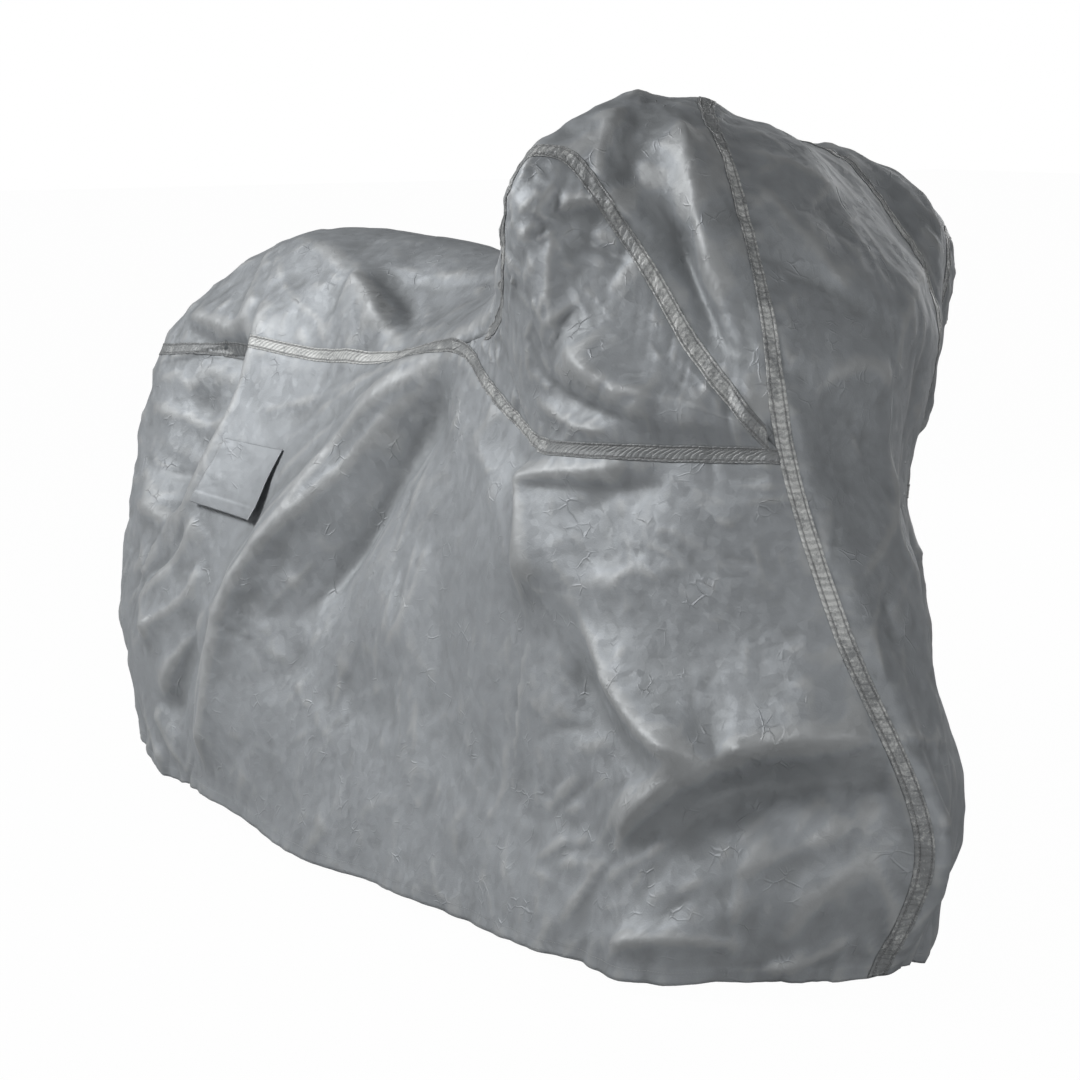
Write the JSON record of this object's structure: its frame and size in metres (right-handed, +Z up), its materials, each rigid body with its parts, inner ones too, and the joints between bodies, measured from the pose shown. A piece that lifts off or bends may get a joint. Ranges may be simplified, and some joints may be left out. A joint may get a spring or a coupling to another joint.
{
  "type": "fitted motorcycle cover",
  "caption": "Fitted grey motorcycle cover of coated polyester, hollow, with taped seams, a pocketed bar hump, a vent flap and a hem near the ground.",
  "frame": {"origin": "under the middle of the cover's box, at the height of its lowest hem", "axes": "+X towards the front wheel's end, +Y to the left side of the machine, +Z up"},
  "size_m": [2.2428, 1.0143, 1.2819],
  "materials": {
    "coated_cloth": "satin silver-grey coating on crinkled polyester",
    "seam_tape": "paler taped and double-stitched seam"
  },
  "bodies": {
    "root": {"side_panel_right": "coated_cloth", "side_panel_left": "coated_cloth", "bar_gusset_right": "coated_cloth", "bar_gusset_left": "coated_cloth", "top_panel": "coated_cloth", "front_panel": "coated_cloth", "waist_tape_right": "seam_tape", "waist_tape_left": "seam_tape", "gusset_tape_right": "seam_tape", "gusset_tape_left": "seam_tape", "front_tape": "seam_tape", "vent_flap": "coated_cloth"}
  },
  "joints": []
}
